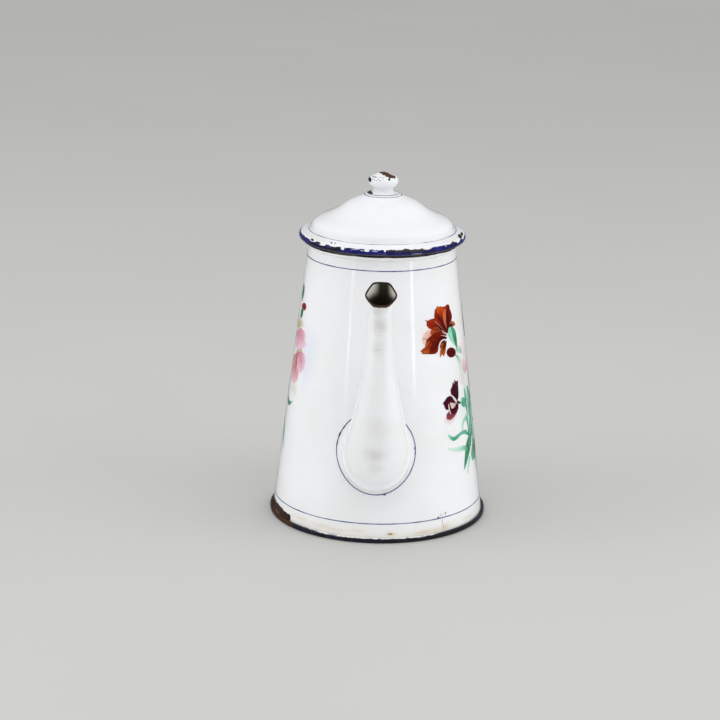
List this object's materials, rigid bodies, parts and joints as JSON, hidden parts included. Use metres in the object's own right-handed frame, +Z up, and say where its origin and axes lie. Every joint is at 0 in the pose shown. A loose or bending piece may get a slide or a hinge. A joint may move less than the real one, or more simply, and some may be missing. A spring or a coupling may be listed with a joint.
{
  "type": "coffee pot",
  "caption": "Tapered enamelled coffee pot with a tall spout, a strap handle and a domed lid hinged at the rim above the handle.",
  "frame": {"origin": "centre of the flat underside, on the surface that the pot stands on", "axes": "+Z up the pot's axis, -Y towards the spout, +Y towards the handle and hinge, +X to the right seen from the spout's side"},
  "size_m": [0.1406, 0.2223, 0.224],
  "materials": {
    "white_enamel": "glossy vitreous enamel on sheet steel",
    "navy_enamel": "glossy dark blue enamel, worn",
    "bare_steel": "dull bare steel"
  },
  "bodies": {
    "pot": {"body_shell": "white_enamel", "base_plate": "navy_enamel", "spout_right": "white_enamel", "spout_left": "white_enamel", "handle": "white_enamel", "hinge_bracket": "white_enamel", "hinge_pin": "bare_steel", "handle_rivet_1": "white_enamel", "handle_rivet_2": "white_enamel", "handle_rivet_3": "white_enamel", "handle_rivet_4": "white_enamel", "bracket_rivet_1": "white_enamel", "bracket_rivet_2": "white_enamel"},
    "lid": {"lid_shell": "white_enamel", "lid_collar": "white_enamel", "knob_foot": "white_enamel", "knob_cap": "white_enamel", "knob_washer": "bare_steel", "knob_stud": "bare_steel", "lid_hinge_leaf": "white_enamel"}
  },
  "joints": [
    {"name": "lid_hinge", "type": "hinge", "parent": "pot", "child": "lid", "pos_m": [0, 0.0566, 0.18689], "axis": [-1, 0, 0], "range_deg": [0, 105]}
  ]
}
